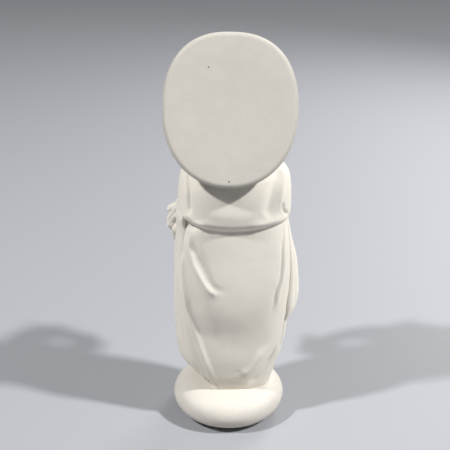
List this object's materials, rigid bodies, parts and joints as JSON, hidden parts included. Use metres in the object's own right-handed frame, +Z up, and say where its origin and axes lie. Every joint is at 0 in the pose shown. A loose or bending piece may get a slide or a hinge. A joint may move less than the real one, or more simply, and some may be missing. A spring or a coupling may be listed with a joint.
{
  "type": "madonna statue",
  "caption": "Standing mother and child figure in matte white ceramic, with a large plate halo behind the bowed head and a round cushion base.",
  "frame": {"origin": "centre of the base's flat foot, on the surface that the statue stands on", "axes": "+Z up along the figure; the figure faces -Y; +X is towards the figure's own left hand"},
  "size_m": [0.1028, 0.1002, 0.3003],
  "materials": {
    "base_bisque": "unglazed bisque, warm white, smooth satin",
    "drapery_bisque": "unglazed bisque, warm white, fine matte grain, slightly darker in the folds",
    "halo_bisque": "unglazed bisque, warm white, sponged smooth, a few casting pinholes",
    "flesh_bisque": "unglazed bisque, warm white, polished a little smoother than the cloth"
  },
  "bodies": {
    "root": {"base": "base_bisque", "robe": "drapery_bisque", "cloak": "drapery_bisque", "mantle_fall_left": "drapery_bisque", "mantle_fall_right": "drapery_bisque", "cape": "drapery_bisque", "head": "flesh_bisque", "veil": "drapery_bisque", "halo": "halo_bisque", "sleeve_left": "drapery_bisque", "sleeve_right": "drapery_bisque", "hand_left": "flesh_bisque", "hand_right": "flesh_bisque", "child_tunic": "drapery_bisque", "child_head": "flesh_bisque", "child_arm_left": "flesh_bisque", "child_arm_right": "flesh_bisque", "child_foot_left": "flesh_bisque", "child_foot_right": "flesh_bisque"}
  },
  "joints": []
}
